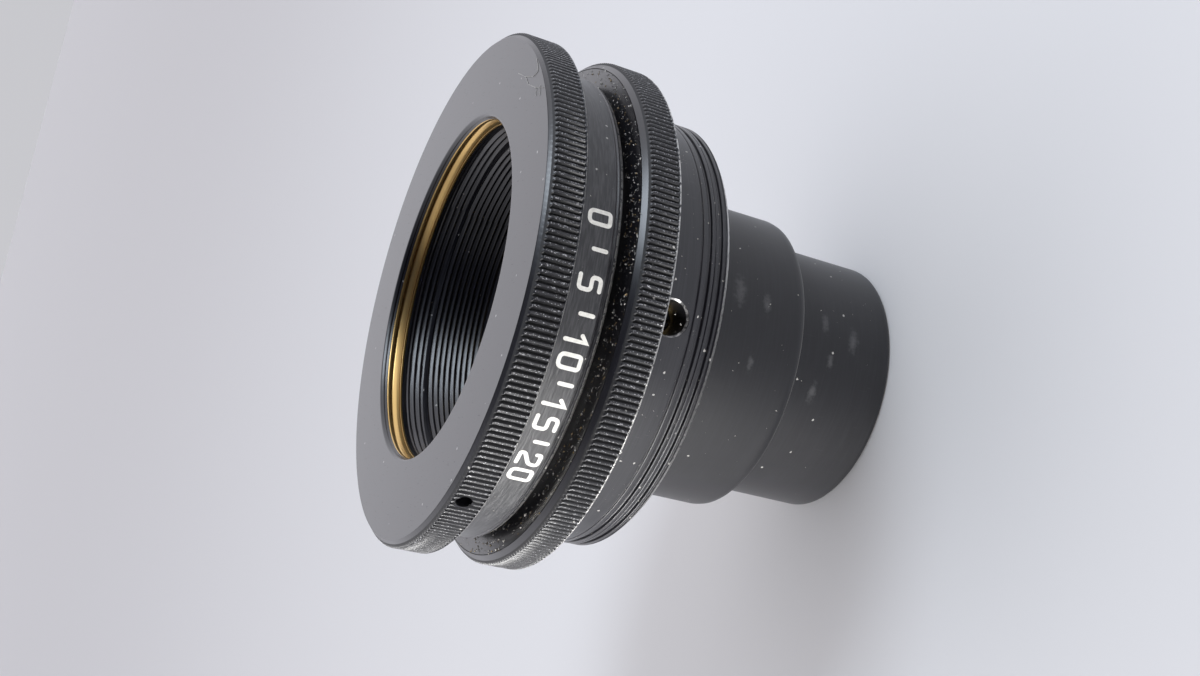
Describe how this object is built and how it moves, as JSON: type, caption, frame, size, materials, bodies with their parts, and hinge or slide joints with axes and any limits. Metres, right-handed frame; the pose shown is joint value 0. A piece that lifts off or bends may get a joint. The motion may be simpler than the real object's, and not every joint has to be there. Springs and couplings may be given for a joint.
{
  "type": "macro lens",
  "caption": "Macro lens with a threaded camera mount in a knurled front ring, a knurled focusing ring on a helicoid, and a stepped push-in tail with cemented glass pairs.",
  "frame": {"origin": "centre of the tail end face, which the lens stands on", "axes": "+Z along the optical axis from the tail end to the front face, -Y through the radial hole in the focusing sleeve, +X completes the right-handed frame"},
  "size_m": [0.062, 0.062, 0.053],
  "materials": {
    "front_ring_black": "black anodised, satin, with lint and small scratches on the face",
    "body_black": "black anodised and brushed round the axis, glossy",
    "sleeve_black": "black anodised, semi-gloss, worn to bare metal on the end edge",
    "tube_black": "matte black with scuffs",
    "inner_black": "matte black",
    "worn_brass": "worn and tarnished brass",
    "helicoid_brass": "machined and greased brass",
    "dark_steel": "blackened steel",
    "glass": "polished and coated"
  },
  "bodies": {
    "tail": {"helicoid_sleeve": "helicoid_brass", "outer_tail_tube": "tube_black", "lens_barrel": "tube_black", "barrel_lock_ring": "inner_black", "front_crown": "glass", "front_flint": "glass", "front_spacer": "inner_black", "aperture_stop": "inner_black", "rear_spacer": "inner_black", "rear_flint": "glass", "rear_crown": "glass", "rear_retaining_ring": "inner_black"},
    "mount_body": {"front_knurled_ring": "front_ring_black", "brass_mount_ring": "worn_brass", "mount_set_screws": "dark_steel", "main_body": "body_black", "bearing_ring": "dark_steel", "guide_screw": "dark_steel", "stop_pin": "dark_steel"},
    "focus_rotor": {"focus_ring": "sleeve_black", "focus_sleeve": "sleeve_black", "rear_cover_ring": "inner_black"}
  },
  "joints": [
    {"name": "focus_travel", "type": "slide", "parent": "tail", "child": "mount_body", "axis": [0, 0, 1], "range_m": [0, 0.002]},
    {"name": "focus_turn", "type": "hinge", "parent": "mount_body", "child": "focus_rotor", "pos_m": [0, 0, 0.035], "axis": [0, 0, 1], "range_deg": [0, 300]}
  ],
  "couplings": [
    {"joint": "focus_travel", "follows": "focus_turn", "m_per_rad": 0.00038197}
  ]
}
